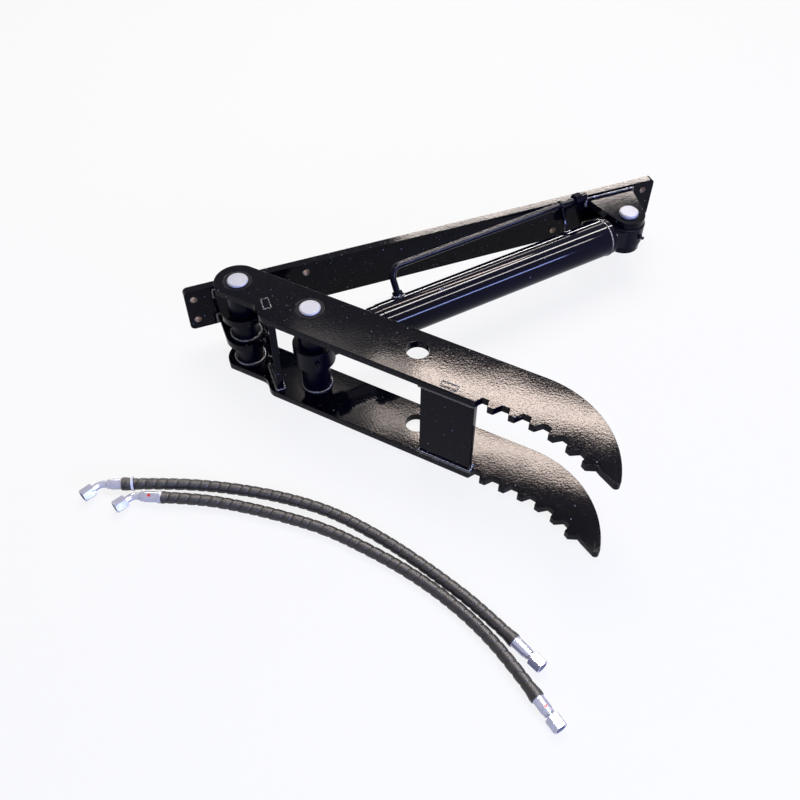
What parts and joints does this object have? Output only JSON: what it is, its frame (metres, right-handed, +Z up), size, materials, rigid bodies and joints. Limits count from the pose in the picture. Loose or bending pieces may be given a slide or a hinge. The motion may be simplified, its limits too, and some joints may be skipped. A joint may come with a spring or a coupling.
{
  "type": "hydraulic thumb",
  "caption": "Hydraulic thumb for a small excavator: hooked toothed arm on a mounting bar, moved by a hydraulic cylinder, with two loose hoses beside it.",
  "frame": {"origin": "on the mounting bar's back face, behind the thumb's pivot and halfway up the pins", "axes": "+X along the bar from the thumb's pivot towards the cylinder's pin, +Y out of the bar's back face, +Z up along the pins of the part as it lies on its side"},
  "size_m": [1.0102, 0.7598, 0.168],
  "materials": {
    "black_paint": "glossy sprayed paint with orange peel",
    "zinc_pin": "turned, bright zinc",
    "chrome_rod": "ground hard chrome",
    "plain_steel": "machined, oiled",
    "black_steel": "black oxide",
    "zinc_fitting": "zinc plated",
    "bush_bronze": "sintered bronze",
    "seal_rubber": "matt",
    "guide_plastic": "matt",
    "hose_sleeve": "spiral ribs, satin",
    "tie_white": "white nylon"
  },
  "bodies": {
    "thumb": {"thumb_plate_upper": "black_paint", "thumb_plate_lower": "black_paint", "pivot_boss_upper": "black_paint", "pivot_boss_lower": "black_paint", "rod_boss_upper": "black_paint", "rod_boss_lower": "black_paint", "stiffener": "black_paint", "cross_plate": "black_paint", "pivot_pin": "zinc_pin", "rod_pin": "zinc_pin", "thumb_spring_pins": "black_steel"},
    "base": {"mounting_bar": "black_paint", "pivot_ear_upper": "black_paint", "pivot_ear_lower": "black_paint", "hinge_tube": "black_paint", "pivot_bushes": "bush_bronze", "cylinder_ear_upper": "black_paint", "cylinder_ear_lower": "black_paint", "cylinder_pin_journals": "zinc_pin", "ear_spring_pin": "black_steel"},
    "rod": {"rod_eye": "black_paint", "rod_eye_bush": "bush_bronze", "rod_eye_nipple": "zinc_fitting", "piston_rod": "chrome_rod", "piston": "plain_steel", "piston_guide_rings": "guide_plastic", "piston_seal": "seal_rubber", "piston_nut": "plain_steel"},
    "barrel": {"barrel": "black_paint", "gland": "black_steel", "wiper_ring": "seal_rubber", "rod_seal": "seal_rubber", "gland_o_ring": "seal_rubber", "base_cap": "black_paint", "barrel_lug": "black_paint", "lug_bush": "bush_bronze", "lug_nipple": "zinc_fitting", "cylinder_pin_core": "zinc_pin", "front_port_boss": "black_paint", "rear_port_boss": "black_paint", "hard_tube": "black_paint", "tube_fitting": "black_paint", "tube_stay": "black_paint"},
    "hose_a": {"hose_a_sleeve": "hose_sleeve", "hose_a_elbow_ferrule": "zinc_fitting", "hose_a_elbow_stem": "zinc_fitting", "hose_a_straight_ferrule": "zinc_fitting", "hose_a_straight_stem": "zinc_fitting", "cable_tie": "tie_white"},
    "hose_b": {"hose_b_sleeve": "hose_sleeve", "hose_b_elbow_ferrule": "zinc_fitting", "hose_b_elbow_stem": "zinc_fitting", "hose_b_straight_ferrule": "zinc_fitting", "hose_b_straight_stem": "zinc_fitting"},
    "hose_a_elbow_nut": {"hose_a_elbow_nut": "zinc_fitting"},
    "hose_a_straight_nut": {"hose_a_straight_nut": "zinc_fitting"},
    "hose_b_elbow_nut": {"hose_b_elbow_nut": "zinc_fitting"},
    "hose_b_straight_nut": {"hose_b_straight_nut": "zinc_fitting"}
  },
  "joints": [
    {"name": "thumb_hinge", "type": "hinge", "parent": "thumb", "child": "base", "pos_m": [0, -0.064, 0], "axis": [0, 0, 1], "range_deg": [0, 101.03]},
    {"name": "rod_pivot", "type": "hinge", "parent": "thumb", "child": "rod", "pos_m": [0.0797, -0.15504, 0], "axis": [0, 0, 1], "range_deg": [0, 96.66]},
    {"name": "cylinder_stroke", "type": "slide", "parent": "rod", "child": "barrel", "axis": [0.989, 0.1478, 0], "range_m": [0, 0.1801]},
    {"name": "hose_a_lift", "type": "slide", "parent": "thumb", "child": "hose_a", "axis": [0, 0, 1], "range_m": [0, 0.1]},
    {"name": "hose_b_lift", "type": "slide", "parent": "thumb", "child": "hose_b", "axis": [0, 0, 1], "range_m": [0, 0.1]},
    {"name": "hose_a_elbow_nut_spin", "type": "hinge", "parent": "hose_a", "child": "hose_a_elbow_nut", "pos_m": [-0.28254, -0.24041, -0.07229], "axis": [-0.9048, -0.4258, 0], "continuous": true},
    {"name": "hose_a_straight_nut_spin", "type": "hinge", "parent": "hose_a", "child": "hose_a_straight_nut", "pos_m": [0.19519, -0.68375, -0.07229], "axis": [0.3657, -0.9308, 0], "continuous": true},
    {"name": "hose_b_elbow_nut_spin", "type": "hinge", "parent": "hose_b", "child": "hose_b_elbow_nut", "pos_m": [-0.24436, -0.27424, -0.07229], "axis": [-0.932, -0.3624, 0], "continuous": true},
    {"name": "hose_b_straight_nut_spin", "type": "hinge", "parent": "hose_b", "child": "hose_b_straight_nut", "pos_m": [0.18122, -0.75809, -0.07229], "axis": [0.1961, -0.9806, 0], "continuous": true}
  ],
  "couplings": [
    {"joint": "rod_pivot", "follows": "thumb_hinge", "ratio": 0.95667},
    {"joint": "cylinder_stroke", "follows": "thumb_hinge", "m_per_rad": 0.10208}
  ]
}
